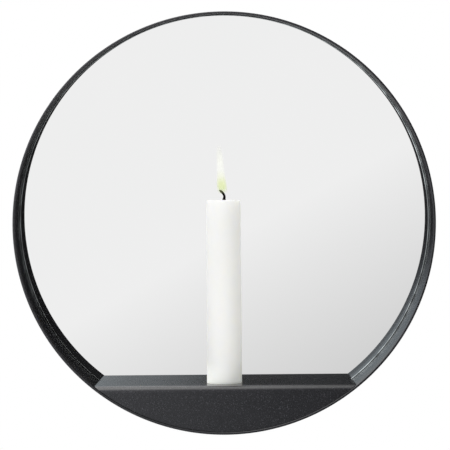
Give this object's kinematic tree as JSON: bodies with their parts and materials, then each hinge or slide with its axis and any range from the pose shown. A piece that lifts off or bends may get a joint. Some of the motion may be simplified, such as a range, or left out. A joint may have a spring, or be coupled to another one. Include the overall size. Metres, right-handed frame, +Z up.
{
  "type": "mirrored candle holder",
  "caption": "Round wall mirror in a deep steel hoop cut at a slant in front, with a folded shelf at the bottom that holds a pillar-shaped candle on a spike.",
  "frame": {"origin": "on the hoop's axis, in the plane of the wall that the bumpers rest on", "axes": "+Z up, +Y into the wall, -Y to the front, +X to the right as seen from the front"},
  "size_m": [0.28, 0.0667, 0.28],
  "materials": {
    "powder_coat": "fine-grained matt powder coat, near black",
    "mirror": "silvered float glass with a ground arris",
    "plate_paint": "smooth matt paint, dark grey",
    "zinc_steel": "bright zinc plating",
    "foam": "closed-cell foam, dark grey",
    "rubber": "matt black rubber",
    "wax": "satin white wax",
    "wick": "charred braided cotton"
  },
  "bodies": {
    "frame": {"hoop": "powder_coat", "shelf": "powder_coat", "fixing_tab_1": "powder_coat", "fixing_tab_2": "powder_coat", "fixing_tab_3": "powder_coat", "fixing_tab_4": "powder_coat", "mirror_glass": "mirror", "back_plate": "plate_paint", "tab_screw_1": "zinc_steel", "tab_screw_2": "zinc_steel", "tab_screw_3": "zinc_steel", "tab_screw_4": "zinc_steel", "tab_nut_1": "zinc_steel", "tab_nut_2": "zinc_steel", "tab_nut_3": "zinc_steel", "tab_nut_4": "zinc_steel", "candle_spike": "zinc_steel", "spike_washer": "zinc_steel", "spike_nut": "zinc_steel", "glass_pad_1": "foam", "glass_pad_2": "foam", "glass_pad_3": "foam", "glass_pad_4": "foam", "glass_pad_5": "foam", "wall_bumper_1": "rubber", "wall_bumper_2": "rubber", "wall_bumper_3": "rubber", "wall_bumper_4": "rubber"},
    "candle": {"candle": "wax", "wick": "wick"}
  },
  "joints": [
    {"name": "candle_lift", "type": "slide", "parent": "frame", "child": "candle", "axis": [0, 0, 1], "range_m": [0, 0.04]}
  ]
}
